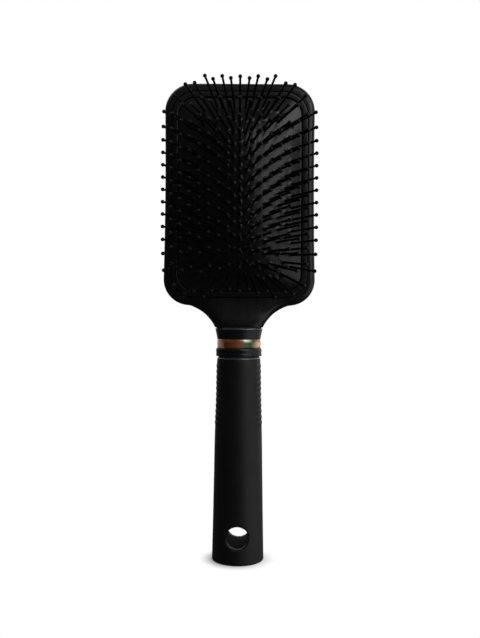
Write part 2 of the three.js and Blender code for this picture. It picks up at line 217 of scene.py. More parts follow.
def combined(obj, tools, operation, sharp=None):
    """Cuts tools from obj or joins them to it, and removes the tools."""
    for tool in tools:
        modifier = obj.modifiers.new("combine", "BOOLEAN")
        modifier.operation = operation
        modifier.solver = "MANIFOLD"
        modifier.object = tool
    depsgraph = bpy.context.evaluated_depsgraph_get()
    mesh = bpy.data.meshes.new_from_object(obj.evaluated_get(depsgraph))
    obj.modifiers.clear()
    obj.data = mesh
    for tool in tools:
        bpy.data.objects.remove(tool)
    shade(obj, sharp)
    return obj


def merged(parts):
    """One list of points and one of faces from several of each."""
    points, faces, start = [], [], 0
    for part_points, part_faces in parts:
        points.append(np.asarray(part_points, float))
        faces += [[start + i for i in face] for face in part_faces]
        start += len(part_points)
    return np.concatenate(points), faces


def lathe(profile, sides):
    """A closed body turned about Z from [radius, z] pairs that start and end on the axis."""
    points = [(0, 0, profile[0][1])]
    for radius, z in profile[1:-1]:
        for k in range(sides):
            angle = 2 * math.pi * k / sides
            points.append((radius * math.cos(angle), radius * math.sin(angle), z))
    points.append((0, 0, profile[-1][1]))
    rings = len(profile) - 2
    top = len(points) - 1
    faces = []
    for k in range(sides):
        after = (k + 1) % sides
        faces.append((0, 1 + after, 1 + k))
        for r in range(rings - 1):
            a, b = 1 + r * sides, 1 + (r + 1) * sides
            faces.append((a + k, a + after, b + after, b + k))
        last = 1 + (rings - 1) * sides
        faces.append((last + k, last + after, top))
    return np.array(points), faces


def turned_ring(section, sides):
    """A ring turned about Z from a closed section of [radius, z] pairs, listed anticlockwise."""
    points, faces = [], []
    for k in range(sides):
        angle = 2 * math.pi * k / sides
        points += [(r * math.cos(angle), r * math.sin(angle), z) for r, z in section]
    count = len(section)
    for k in range(sides):
        here, there = k * count, ((k + 1) % sides) * count
        for i in range(count):
            j = (i + 1) % count
            faces.append((here + i, there + i, there + j, here + j))
    return np.array(points), faces


def rounded(corners, radius, steps=4):
    """A closed section of pairs with its corners rounded. Each corner may give its own radius third."""
    result = []
    count = len(corners)
    for i, corner in enumerate(corners):
        here = np.array(corner[:2], float)
        before = np.array(corners[i - 1][:2], float) - here
        after = np.array(corners[(i + 1) % count][:2], float) - here
        size = corner[2] if len(corner) > 2 else radius
        reach = min(size, 0.45 * np.linalg.norm(before), 0.45 * np.linalg.norm(after))
        start = here + before / np.linalg.norm(before) * reach
        end = here + after / np.linalg.norm(after) * reach
        for k in range(steps + 1):
            t = k / steps
            result.append(tuple((1 - t) ** 2 * start + 2 * t * (1 - t) * here + t ** 2 * end))
    return result


def smooth_curve(knots, count=240):
    """A finely sampled smooth curve through (place, value) knots, for np.interp."""
    places, values = np.array(knots, float).T
    slopes = np.gradient(values, places)
    at = np.linspace(places[0], places[-1], count)
    i = np.clip(np.searchsorted(places, at, side="right") - 1, 0, len(places) - 2)
    width = places[i + 1] - places[i]
    t = (at - places[i]) / width
    curve = (
        (2 * t ** 3 - 3 * t ** 2 + 1) * values[i]
        + (t ** 3 - 2 * t ** 2 + t) * width * slopes[i]
        + (3 * t ** 2 - 2 * t ** 3) * values[i + 1]
        + (t ** 3 - t ** 2) * width * slopes[i + 1]
    )
    return at, curve


def smoothstep(low, high, value):
    t = np.clip((value - low) / (high - low), 0, 1)
    return t * t * (3 - 2 * t)


# ---- Rounded bodies from distance fields ---------------------------------------------------------

def round_max(a, b, radius):
    """The overlap of two bodies given as distances, with the edge between them rounded."""
    corner = np.hypot(np.maximum(a + radius, 0), np.maximum(b + radius, 0))
    return np.minimum(np.maximum(a, b), -radius) + corner


def smooth_min(a, b, blend):
    """Two bodies given as distances, joined with a fillet."""
    share = np.maximum(blend - np.abs(a - b), 0) / blend
    return np.minimum(a, b) - share ** 2 * blend / 4


def net(field, low, high, step):
    """Points and quads of the closed surface where field is zero, by surface nets."""
    low = np.array(low, float)
    counts = np.ceil((np.array(high) - low) / step).astype(int) + 1
    axes = [low[i] + step * np.arange(counts[i]) for i in range(3)]
    grid = np.stack(np.meshgrid(*axes, indexing="ij"), -1).reshape(-1, 3)
    value = field(grid).reshape(counts)
    inside = value < 0

    def corner(array, offset):
        return array[tuple(slice(o, o + n - 1) for o, n in zip(offset, counts))]

    total = np.zeros((*(counts - 1), 3))
    hits = np.zeros(counts - 1)
    for axis in range(3):
        for shift in range(4):
            start = [0, 0, 0]
            start[(axis + 1) % 3] = shift & 1
            start[(axis + 2) % 3] = shift >> 1
            end = list(start)
            end[axis] = 1
            here, there = corner(value, start), corner(value, end)
            crossed = corner(inside, start) != corner(inside, end)
            along = np.where(crossed, here / np.where(crossed, here - there, 1), 0)
            for i in range(3):
                total[..., i] += crossed * (start[i] + (along if i == axis else 0))
            hits += crossed
    active = hits > 0
    index = np.full(counts - 1, -1)
    index[active] = np.arange(active.sum())
    cells = np.argwhere(active)
    points = low + step * (cells + total[active] / hits[active][:, None])
    quads = []
    for axis in range(3):
        u, v = (axis + 1) % 3, (axis + 2) % 3
        a = np.moveaxis(inside, (axis, u, v), (0, 1, 2))
        cell = np.moveaxis(index, (axis, u, v), (0, 1, 2))
        lower, upper = a[:-1, 1:-1, 1:-1], a[1:, 1:-1, 1:-1]
        around = [cell[:, :-1, :-1], cell[:, 1:, :-1], cell[:, 1:, 1:], cell[:, :-1, 1:]]
        leaving = lower & ~upper
        entering = ~lower & upper
        quads.append(np.stack([c[leaving] for c in around], -1))
        quads.append(np.stack([c[entering] for c in around[::-1]], -1))
    return settled(field, points, step), np.concatenate(quads).tolist()


def settled(field, points, step, passes=4):
    """Moves points onto the field's zero surface."""
    reach = 0.02 * step
    for _ in range(passes):
        value = field(points)
        slope = np.empty_like(points)
        for i in range(3):
            ahead = points.copy()
            ahead[:, i] += reach
            slope[:, i] = (field(ahead) - value) / reach
        length = np.maximum((slope ** 2).sum(1), 0.05)
        move = -(value / length)[:, None] * slope
        far = np.maximum(np.linalg.norm(move, axis=1) / (0.5 * step), 1)
        points = points + move / far[:, None]
    return points


# ---- Outlines ------------------------------------------------------------------------------------

def arc(cx, cz, radius, start, end, steps):
    angles = np.radians(np.linspace(start, end, steps + 1))
    return np.stack([cx + radius * np.cos(angles), cz + radius * np.sin(angles)], -1)


def bezier(points, steps):
    t = np.linspace(0, 1, steps + 1)[:, None]
    line = [np.array(p, float) for p in points]
    while len(line) > 1:
        line = [a * (1 - t) + b * t for a, b in zip(line, line[1:])]
    return line[0]


def half_outline():
    """The paddle's right half seen from the front, from the middle of its top to the neck."""
    side_top = HEAD_TOP_Z - TOP_RADIUS
    side_bottom = BOTTOM_Z + BOTTOM_RADIUS
    run = HALF_BOTTOM - BOTTOM_RADIUS
    waist = 2 * HALF_WAIST - (HALF_TOP + HALF_BOTTOM) / 2
    middle = (side_top + side_bottom) / 2
    foot = NECK_FOOT_Z
    stretches = [
        np.array([[-1.0, HEAD_TOP_Z]]),
        arc(HALF_TOP - TOP_RADIUS, side_top, TOP_RADIUS, 90, 0, 18),
        bezier([(HALF_TOP, side_top), (waist, middle), (HALF_BOTTOM, side_bottom)], 24)[1:],
        arc(run, side_bottom, BOTTOM_RADIUS, 0, -90, 16)[1:],
        bezier([(run, BOTTOM_Z), *((x, foot + rise) for x, rise in FLARE)], 16)[1:],
        np.array([[FLARE[-1][0], foot - 12], [-1.0, foot - 12]]),
    ]
    return np.concatenate(stretches)


OUTLINE = half_outline()


def outline_distance(x, z):
    """Distance from the paddle's outline in X and Z, negative inside it."""
    x = np.abs(x)
    nearest = np.full(x.shape, 1e9)
    crossings = np.zeros(x.shape, int)
    for (ax, az), (bx, bz) in zip(OUTLINE, OUTLINE[1:]):
        dx, dz = bx - ax, bz - az
        t = np.clip(((x - ax) * dx + (z - az) * dz) / (dx * dx + dz * dz), 0, 1)
        nearest = np.minimum(nearest, (x - ax - t * dx) ** 2 + (z - az - t * dz) ** 2)
        if dz != 0:
            crossings += ((az > z) != (bz > z)) & (x < ax + (z - az) / dz * dx)
    return np.sqrt(nearest) * np.where(crossings % 2, -1, 1)


def pad_outline(grow, steps=14):
    """The pad opening's rounded rectangle, grown by so many millimetres, anticlockwise in X and Z."""
    half_x, half_z, radius = (s + grow for s in (OPENING_HALF_X, OPENING_HALF_Z, OPENING_RADIUS))
    x, z = half_x - radius, half_z - radius
    corners = [(x, -z, -90), (x, z, 0), (-x, z, 90), (-x, -z, 180)]
    return np.concatenate([arc(cx, PAD_Z + cz, radius, a, a + 90, steps) for cx, cz, a in corners])


def pad_prism(name, grow, y_front, y_back):
    outline = pad_outline(grow)
    count = len(outline)
    points = [(x, y, z) for y in (y_front, y_back) for x, z in outline]
    faces = [tuple(range(count)), tuple(range(2 * count - 1, count - 1, -1))]
    for i in range(count):
        j = (i + 1) % count
        faces.append((j, i, count + i, count + j))
    return mesh_object(name, points, faces)


# ---- Head ----------------------------------------------------------------------------------------

def above_foot(knots):
    return smooth_curve([(NECK_FOOT_Z + rise, size) for rise, size in knots])


NECK_WIDTH = above_foot(NECK_WIDTH_KNOTS)
NECK_DEPTH = above_foot(NECK_DEPTH_KNOTS)


def neck_field(x, y, z):
    """The neck, wider, flatter and squarer as it rises from the collar into the paddle."""
    back = smoothstep(NECK_FOOT_Z, NECK_FOOT_Z + NECK_SHIFT, z)
    power = NECK_POWER + NECK_POWER_GAIN * smoothstep(NECK_FOOT_Z, NECK_FOOT_Z + NECK_POWER_RISE, z)
    width = np.interp(z, *NECK_WIDTH)
    depth = np.interp(z, *NECK_DEPTH)
    across = ((np.abs(x) / width) ** power + (np.abs(y - back) / depth) ** power) ** (1 / power)
    side = (across - 1) * np.minimum(width, depth)
    return np.maximum(side, z - (NECK_FOOT_Z + NECK_TOP))


def head_field(points):
    x, y, z = points.T
    edge = outline_distance(x, z)
    back = BACK_Y - BACK_CROWN * (x / HALF_BOTTOM) ** 2
    front_body = round_max(edge, FRONT_Y - y, RIM_RADIUS)
    back_body = round_max(edge * BACK_ROUND_DEPTH / BACK_ROUND_INSET, y - back, BACK_ROUND_DEPTH)
    paddle = np.maximum(front_body, back_body)
    body = smooth_min(paddle, neck_field(x, y, z), NECK_BLEND)
    body = round_max(body, NECK_FOOT_Z - JOINT_GROW - z, NECK_FOOT_EDGE)
    tang = np.maximum(np.hypot(x, y) - TANG_RADIUS, z - (NECK_FOOT_Z + TANG_ROOT))
    tang = round_max(tang, TANG_END_Z - z, TANG_EDGE)
    return np.minimum(body, tang)


def make_head():
    surface = net(head_field, HEAD_LOW - HEAD_MARGIN, HEAD_HIGH + HEAD_MARGIN, HEAD_STEP)
    head = mesh_object("paddle_head_shell", *surface)
    ahead = FRONT_Y - 3
    rebate = pad_prism("rebate", FRAME_WIDTH + GAP, ahead, FLANGE_Y + RUBBER + GAP)
    pocket = pad_prism("pocket", POCKET_GROW, ahead, POCKET_FLOOR_Y)
    combined(head, [rebate, pocket], "DIFFERENCE", sharp=40)
    return head


def make_front_frame():
    """A flat hoop round the pad with softened front edges and a shallow step beside the rubber."""
    back, front = FRONT_Y + FRAME_THICKNESS, FRONT_Y
    section = rounded([
        (0, back, 0.1), (0, front + FRAME_STEP_DEPTH, 0.3), (FRAME_STEP, front, 0.3),
        (FRAME_WIDTH, front, 0.45), (FRAME_WIDTH, back, 0.1),
    ], 0.3, 3)
    loops = [[(x, y, z) for x, z in pad_outline(grow)] for grow, y in section]
    count, width = len(loops), len(loops[0])
    faces = []
    for k in range(count):
        here, there = k * width, ((k + 1) % count) * width
        for i in range(width):
            j = (i + 1) % width
            faces.append((here + j, here + i, there + i, there + j))
    return mesh_object("front_frame_hoop", np.concatenate(loops), faces, sharp=50)


# ---- Pin places ----------------------------------------------------------------------------------

def rubber_y(x, z):
    """Front of the cushion, z measured from the pad's centre."""
    across = 1 - np.minimum(1, np.abs(x) / (OPENING_HALF_X - GAP)) ** 2
    along = 1 - np.minimum(1, np.abs(z) / (OPENING_HALF_Z - GAP)) ** 4
    return CROWN_BASE_Y - CROWN_HEIGHT * across * along


def pin_row(side):
    """Each pin of a row as its root, its direction and how much of it lies behind the rubber's face."""
    intervals, half = ROWS[abs(side)]
    outward = abs(side) / ROWS_EACH_SIDE
    lean = math.copysign(SIDE_LEAN * outward ** SIDE_LEAN_POWER, side)
    exit_x = side * ROW_PITCH
    root_x = exit_x - math.tan(lean) * (RUNNER_Y - rubber_y(exit_x, 0))
    pins = []
    for i in range(intervals + 1):
        z = FIELD_RISE - ROW_DROP * outward ** 2 - half + 2 * half * i / intervals
        fan = math.copysign(END_LEAN * (abs(z) / END_LEAN_AT) ** END_LEAN_POWER, z)
        way = Vector((math.tan(lean), -1, math.tan(fan))).normalized()
        hidden = 0
        for _ in range(8):
            hidden = (rubber_y(root_x + hidden * way.x, z) - RUNNER_Y) / way.y
        root = Vector((root_x, RUNNER_Y, PAD_Z + z - hidden * way.z))
        pins.append((root, way, hidden))
    return pins


PIN_ROWS = [pin_row(side) for side in range(-ROWS_EACH_SIDE, ROWS_EACH_SIDE + 1)]


# ---- Cushion -------------------------------------------------------------------------------------

def height_body(name, front, back_y, half_x, half_z, step):
    """A closed body over a rectangle, flat behind, with front(x, z) as its face."""
    nx, nz = int(2 * half_x / step), int(2 * half_z / step)
    xs, zs = np.linspace(-half_x, half_x, nx + 1), np.linspace(-half_z, half_z, nz + 1)
    gx, gz = np.meshgrid(xs, zs, indexing="ij")
    face = np.stack([gx, front(gx, gz), PAD_Z + gz], -1).reshape(-1, 3)
    flat = face.copy()
    flat[:, 1] = back_y
    points = np.concatenate([face, flat])
    i, j = np.meshgrid(np.arange(nx), np.arange(nz), indexing="ij")
    a = (i * (nz + 1) + j).ravel()
    quads = np.stack([a, a + nz + 1, a + nz + 2, a + 1], -1)
    total = len(face)
    faces = quads.tolist() + (quads[:, ::-1] + total).tolist()
    border = (
        [k * (nz + 1) for k in range(nx)]
        + [nx * (nz + 1) + k for k in range(nz)]
        + [k * (nz + 1) + nz for k in range(nx, 0, -1)]
        + [k for k in range(nz, 0, -1)]
    )
    for k, here in enumerate(border):
        there = border[(k + 1) % len(border)]
        faces.append((there, here, here + total, there + total))
    return mesh_object(name, points, faces)


def rubber_face(x, z):
    """The crown with a small raised collar where each pin comes out."""
    y = rubber_y(x, z)
    for pins in PIN_ROWS:
        for root, way, hidden in pins:
            place = root + way * hidden
            far = ((x - place.x) ** 2 + (z - place.z + PAD_Z) ** 2) / COLLAR_RADIUS ** 2
            y = y - COLLAR_HEIGHT * np.exp(-far ** 2)
    return y


def socket_tool():
    """Slim rods along every pin, a little thicker than it."""
    rods = []
    for pins in PIN_ROWS:
        for root, way, hidden in pins:
            top = hidden + 3
            rod = lathe([(0, -1), (SOCKET_RADIUS, -1), (SOCKET_RADIUS, top), (0, top)], PIN_SIDES)
            rods.append((placed(rod[0], root, way), rod[1]))
    return mesh_object("sockets", *merged(rods))


def placed(points, root, way):
    """Points drawn along +Z from the origin, turned to a direction and moved to a root."""
    turn = Vector((0, 0, 1)).rotation_difference(way).to_matrix()
    return np.asarray(points) @ np.array(turn).T + np.array(root)


def make_cushion():
    back = FLANGE_Y
    trim = pad_prism("trim", -GAP, CUSHION_LOW[1] - 2, back + RUBBER)
    opening = (OPENING_HALF_X, OPENING_HALF_Z)
    cushion = height_body("cushion_rubber", rubber_face, back + RUBBER / 2, *opening, CUSHION_STEP)
    combined(cushion, [trim], "INTERSECT")
    flange = pad_prism("flange", FRAME_WIDTH - GAP / 2, back, back + RUBBER)
    combined(cushion, [flange], "UNION")

    def inner_face(x, z):
        squeeze_x, squeeze_z = HOLLOW_SQUEEZE
        return np.minimum(rubber_y(x * squeeze_x, z * squeeze_z) + RUBBER, back + RUBBER + 0.5)

    inside = (size - HOLLOW_INSET for size in opening)
    hollow = height_body("hollow", inner_face, back + RUBBER + 2, *inside, HOLLOW_STEP)
    breather = lathe([(0, -10), (BREATHER_RADIUS, -10), (BREATHER_RADIUS, 10), (0, 10)], 16)
    breather_root = Vector((0, CROWN_BASE_Y, PAD_Z - BREATHER_DROP))
    hole = mesh_object("breather", placed(breather[0], breather_root, Vector((0, -1, 0))), breather[1])
    combined(cushion, [hollow, hole, socket_tool()], "DIFFERENCE", sharp=45)
    return cushion


# ---- Pin strips ----------------------------------------------------------------------------------

def pin_profile(hidden):
    """[radius, height] pairs: a shaft with a soft root flare, a fine taper and a round ball tip."""
    end = hidden + PIN_LENGTH
    root = PIN_RADIUS + ROOT_FLARE
    profile = [(0, 0), (root, 0), (root, hidden - 1), (PIN_RADIUS, hidden + 0.6)]
    profile.append((PIN_RADIUS - PIN_TAPER, end - NECKING * BALL_RADIUS))
    centre = end - BALL_RADIUS
    for degrees in (-56, -34, -12, 12, 34, 56, 75):
        angle = math.radians(degrees)
        profile.append((BALL_RADIUS * math.cos(angle), centre + BALL_RADIUS * math.sin(angle)))
    profile.append((0, end))
    return profile


def make_pin_strip(number, pins):
    parts = []
    for root, way, hidden in pins:
        points, faces = lathe(pin_profile(hidden), PIN_SIDES)
        parts.append((placed(points, root, way), faces))
    parts.append(runner(pins))
    return mesh_object(f"pin_row_{number:02d}_moulding", *merged(parts), sharp=50)


def runner(pins):
    """The bar that a row's pins stand on, with chamfered edges."""
    low = pins[0][0].z - RUNNER_OVERHANG
    high = pins[-1][0].z + RUNNER_OVERHANG
    half_x, half_y = RUNNER_WIDTH / 2, RUNNER_THICKNESS / 2
    flat_x, flat_y = half_x - RUNNER_EDGE, half_y - RUNNER_EDGE
    section = [
        (-flat_x, -half_y), (flat_x, -half_y), (half_x, -flat_y), (half_x, flat_y),
        (flat_x, half_y), (-flat_x, half_y), (-half_x, flat_y), (-half_x, -flat_y),
    ]
    root_x = pins[0][0].x
    points = [(root_x + x, RUNNER_Y + y, z) for z in (low, high) for x, y in section]
    count = len(section)
    faces = [tuple(range(count - 1, -1, -1)), tuple(range(count, 2 * count))]
    for i in range(count):
        j = (i + 1) % count
        faces.append((i, j, count + j, count + i))
    return np.array(points), faces


# ---- Rings on the tang ---------------------------------------------------------------------------

def make_ring(name, node, outside, edge):
    """A ring about as high as its CAD node. outside lists [radius, share of the height] pairs upwards."""
    low, high = node_box(node)
    bottom, top = low[2] - JOINT_GROW, high[2] + JOINT_GROW
    section = [(RING_BORE, bottom, 0.1)]
    section += [(radius, bottom + share * (top - bottom)) for radius, share in outside]
    section += [(RING_BORE, top, 0.1)]
    return mesh_object(name, *turned_ring(rounded(section, edge), RING_SIDES), sharp=60)


# ---- Handle --------------------------------------------------------------------------------------

GRIP_OUTSIDE = smooth_curve(GRIP_CURVE)


def hole_distance(x, y, z):
    return np.hypot(x - y * HANG_HOLE_SKEW, z - HANG_HOLE_Z) - HANG_HOLE_RADIUS


def rib_height(x, z):
    """Grip ribs on the two sides of the handle's upper part."""
    wave = 0.5 + 0.5 * np.cos(2 * np.pi * (z - RIB_FIRST_Z) / RIB_PITCH)
    half = RIB_PITCH / 2
    last = RIB_FIRST_Z + (RIB_COUNT - 1) * RIB_PITCH
    inside = (z > RIB_FIRST_Z - half) & (z < last + half)
    side = smoothstep(*RIB_SIDE, np.abs(x))
    return RIB_HEIGHT * wave * inside * side


def grip_field(points):
    x, y, z = points.T
    radius = np.hypot(x, y)
    outer = radius - np.interp(z, *GRIP_OUTSIDE) - rib_height(x, z)
    body = round_max(outer, -z, GRIP_BASE_EDGE)
    body = round_max(body, z - GRIP_TOP_Z - JOINT_GROW, GRIP_TOP_EDGE)
    body = round_max(body, -hole_distance(x, y, z), HANG_HOLE_EDGE)
    bore_places, bore_radii = np.array(GRIP_BORE, float).T
    hollow = np.maximum(radius - np.interp(z, bore_places, bore_radii), GRIP_FLOOR - z)
    return np.maximum(body, -hollow)


def make_grip():
    surface = net(grip_field, GRIP_LOW - GRIP_MARGIN, GRIP_HIGH + GRIP_MARGIN, GRIP_STEP)
    return mesh_object("grip_sleeve_skin", *surface, sharp=50)


def make_core():
    """The rigid core inside the sleeve, with the tang's socket and the hanging hole."""
    top = CORE_HIGH[2]
    radius = CORE_HIGH[0]
    base = CORE_LOW[2]
    profile = [(0, base), (radius, base), (radius, CORE_TAPER_Z), (radius - CORE_TAPER, top), (0, top)]
    core = mesh_object("handle_core_body", *lathe(profile, 64))
    bore = [(0, CORE_SOCKET_Z), (RING_BORE, CORE_SOCKET_Z), (RING_BORE, top + 2), (0, top + 2)]
    socket = mesh_object("socket", *lathe(bore, 48))
    rod = lathe([(0, -20), (HANG_HOLE_RADIUS, -20), (HANG_HOLE_RADIUS, 20), (0, 20)], 64)
    axis = Vector((-HANG_HOLE_SKEW, -1, 0)).normalized()
    hole = mesh_object("hole", placed(rod[0], Vector((0, 0, HANG_HOLE_Z)), axis), rod[1])
    return combined(core, [socket, hole], "DIFFERENCE", sharp=40)


# ---- Materials -----------------------------------------------------------------------------------

def math_node(nodes, operation):
    node = nodes.new("ShaderNodeMath")
    node.operation = operation
    return node


def map_range(nodes, start, end, low, high):
    node = nodes.new("ShaderNodeMapRange")
    for socket, number in (("From Min", start), ("From Max", end), ("To Min", low), ("To Max", high)):
        node.inputs[socket].default_value = number
    return node


class Look:
    """A Principled material that is put together step by step from procedural nodes."""

    def __init__(self, name, **sockets):
        self.material = bpy.data.materials.new(name)
        self.material.use_nodes = True
        self.nodes = self.material.node_tree.nodes
        self.shader = self.nodes["Principled BSDF"]
        for socket, value in sockets.items():
            self.shader.inputs[socket.replace("_", " ")].default_value = value
        self.place = self.nodes.new("ShaderNodeTexCoord").outputs["Object"]

    def join(self, output, target):
        self.material.node_tree.links.new(output, target)

    def noise(self, scale, detail, roughness, stretch=None):
        """Noise whose scale is in cycles per metre."""
        node = self.nodes.new("ShaderNodeTexNoise")
        node.inputs["Scale"].default_value = scale
        node.inputs["Detail"].default_value = detail
        node.inputs["Roughness"].default_value = roughness
        place = self.place
        if stretch:
            mapping = self.nodes.new("ShaderNodeMapping")
            mapping.inputs["Scale"].default_value = stretch
            self.join(place, mapping.inputs["Vector"])
            place = mapping.outputs["Vector"]
        self.join(place, node.inputs["Vector"])
        return node.outputs["Fac"]

    def spread(self, value, low, high, start=0.35, end=0.65):
        """Maps a value from start..end to low..high."""
        node = map_range(self.nodes, start, end, low, high)
        self.join(value, node.inputs["Value"])
        return node.outputs["Result"]

    def math(self, operation, a, b):
        node = math_node(self.nodes, operation)
        for socket, value in zip(node.inputs, (a, b)):
            if isinstance(value, (int, float)):
                socket.default_value = value
            else:
                self.join(value, socket)
        return node.outputs[0]

    def ramp(self, value, stops):
        """Colours blended between [place, colour] stops."""
        node = self.nodes.new("ShaderNodeValToRGB")
        elements = node.color_ramp.elements
        while len(elements) < len(stops):
            elements.new(0.5)
        for element, (place, colour) in zip(elements, stops):
            element.position = place
            element.color = (*colour, 1)
        self.join(value, node.inputs["Fac"])
        return node.outputs["Color"]

    def blend(self, share, first, second):
        """A mix of two colours, the second where share is 1."""
        node = self.nodes.new("ShaderNodeMix")
        node.data_type = "RGBA"
        self.join(share, node.inputs["Factor"])
        for colour, socket in zip((first, second), (s for s in node.inputs if s.type == "RGBA")):
            self.join(colour, socket)
        return next(s for s in node.outputs if s.type == "RGBA")

    def colour(self, output):
        self.join(output, self.shader.inputs["Base Color"])

    def rough(self, output):
        self.join(output, self.shader.inputs["Roughness"])

    def bump(self, *layers):
        """Layers of (height output, depth in micrometres), one bump over the other."""
        normal = None
        for height, depth in layers:
            node = self.nodes.new("ShaderNodeBump")
            node.inputs["Strength"].default_value = 1.0
            node.inputs["Distance"].default_value = depth * MICROMETRE
            self.join(height, node.inputs["Height"])
            if normal is not None:
                self.join(normal, node.inputs["Normal"])
            normal = node.outputs["Normal"]
        self.join(normal, self.shader.inputs["Normal"])


def grey(value):
    return (value, value, value * 1.03)


def moulded_plastic(name, dark, light, roughness, grain, depth, specular=0.5):
    """Black plastic with fine moulded grain, slow changes of gloss and a faint waviness."""
    look = Look(name, Specular_IOR_Level=specular)
    cloud = look.noise(60, 4, 0.6)
    look.colour(look.ramp(cloud, [(0.35, grey(dark)), (0.7, grey(light))]))
    look.rough(look.spread(cloud, roughness - 0.05, roughness + 0.06))
    look.bump((look.noise(grain, 2, 0.4), depth), (look.noise(220, 2, 0.5), 12))
    return look.material


def cushion_rubber():
    """Glossy rubber with a soft waviness."""
    look = Look("cushion_rubber_gloss", Specular_IOR_Level=0.55)
    cloud = look.noise(90, 4, 0.6)
    look.colour(look.ramp(cloud, [(0.35, grey(0.0035)), (0.7, grey(0.0065))]))
    look.rough(look.spread(cloud, 0.22, 0.31))
    look.bump((look.noise(2600, 2, 0.4), 6), (look.noise(160, 2, 0.5), 40))
    return look.material


def pin_nylon():
    """Smooth nylon, its grain as fine as the pins need."""
    look = Look("pin_nylon_satin", Specular_IOR_Level=0.3)
    cloud = look.noise(700, 3, 0.6)
    look.colour(look.ramp(cloud, [(0.3, grey(0.003)), (0.7, grey(0.006))]))
    look.rough(look.spread(cloud, 0.44, 0.56))
    look.bump((look.noise(5200, 2, 0.4), 4))
    return look.material


def grip_rubber():
    """Soft-touch rubber with a dull sheen and a fine matt grain."""
    look = Look("grip_rubber_soft", Specular_IOR_Level=0.5, Sheen_Weight=0.02, Sheen_Roughness=0.5)
    cloud = look.noise(70, 4, 0.6)
    look.colour(look.ramp(cloud, [(0.35, grey(0.0045)), (0.7, grey(0.007))]))
    look.rough(look.spread(cloud, 0.44, 0.55))
    look.bump((look.noise(4200, 2, 0.5), 12), (look.noise(300, 2, 0.5), 20))
    return look.material


def trim_metal():
    """Darkened metal with streaks round the ring."""
    look = Look("trim_metal_dark", Metallic=0.9)
    streak = look.noise(900, 3, 0.6, stretch=(1, 1, 9))
    look.colour(look.ramp(streak, [(0.3, grey(0.4)), (0.7, grey(0.52))]))
    look.rough(look.spread(streak, 0.25, 0.4))
    look.bump((streak, 6))
    return look.material


def collar_plastic():
    """Smooth plastic with a blue cast."""
    look = Look("collar_plastic_gloss", Specular_IOR_Level=0.55)
    cloud = look.noise(150, 3, 0.6)
    look.colour(look.ramp(cloud, [(0.35, (0.002, 0.0035, 0.006)), (0.7, (0.004, 0.0055, 0.009))]))
    look.rough(look.spread(cloud, 0.32, 0.41))
    look.bump((look.noise(3000, 2, 0.4), 4))
    return look.material


# Tints of the foil's top edge, which are a painted highlight, and of the rest of it,
# # by the angle round the ring: 0 in front, 90 towards +X
FOIL_TOP_HIGHLIGHT_TINTS = [
    (-180, (0.3, 0.14, 0.07)), (-120, (0.4, 0.3, 0.16)), (-70, (0.6, 0.36, 0.24)),
    (-44, (0.16, 0.05, 0.02)), (-6, (0.2, 0.06, 0.03)), (8, (0.36, 0.22, 0.13)), (18, (0.6, 0.8, 0.6)),
    (30, (0.4, 0.5, 0.33)), (40, (0.12, 0.08, 0.04)), (62, (0.4, 0.22, 0.11)), (110, (0.12, 0.05, 0.02)),
    (180, (0.3, 0.14, 0.07)),
]
# These are the foil's copper, bronze and green patches, but their lightness by angle follows how the lit ring
# looks, so the pale copper near -70 and the tan near 60 are partly painted reflection
FOIL_TINTS = [
    (-180, (0.4, 0.2, 0.1)), (-140, (0.5, 0.36, 0.18)), (-118, (0.05, 0.12, 0.06)),
    (-100, (0.3, 0.13, 0.07)), (-70, (0.7, 0.44, 0.3)), (-54, (0.48, 0.22, 0.14)),
    (-40, (0.075, 0.024, 0.006)), (-24, (0.11, 0.036, 0.011)), (-10, (0.18, 0.05, 0.022)),
    (2, (0.24, 0.085, 0.05)), (11, (0.2, 0.13, 0.07)), (18, (0.05, 0.1, 0.036)), (34, (0.03, 0.06, 0.03)),
    (43, (0.24, 0.17, 0.1)), (60, (0.85, 0.5, 0.29)), (80, (0.5, 0.2, 0.1)), (110, (0.1, 0.04, 0.015)),
    (135, (0.06, 0.13, 0.06)), (155, (0.3, 0.13, 0.06)), (180, (0.4, 0.2, 0.1)),
]
# The top tints, a painted highlight, come in over these shares of the ring's height
FOIL_HIGHLIGHT_EDGE = (0.62, 0.8)  # shares of the ring's height over which the top tints come in
# Strength of the foil's painted glow: light it gives off though it is no lamp
FOIL_PAINTED_GLOW = 0.3


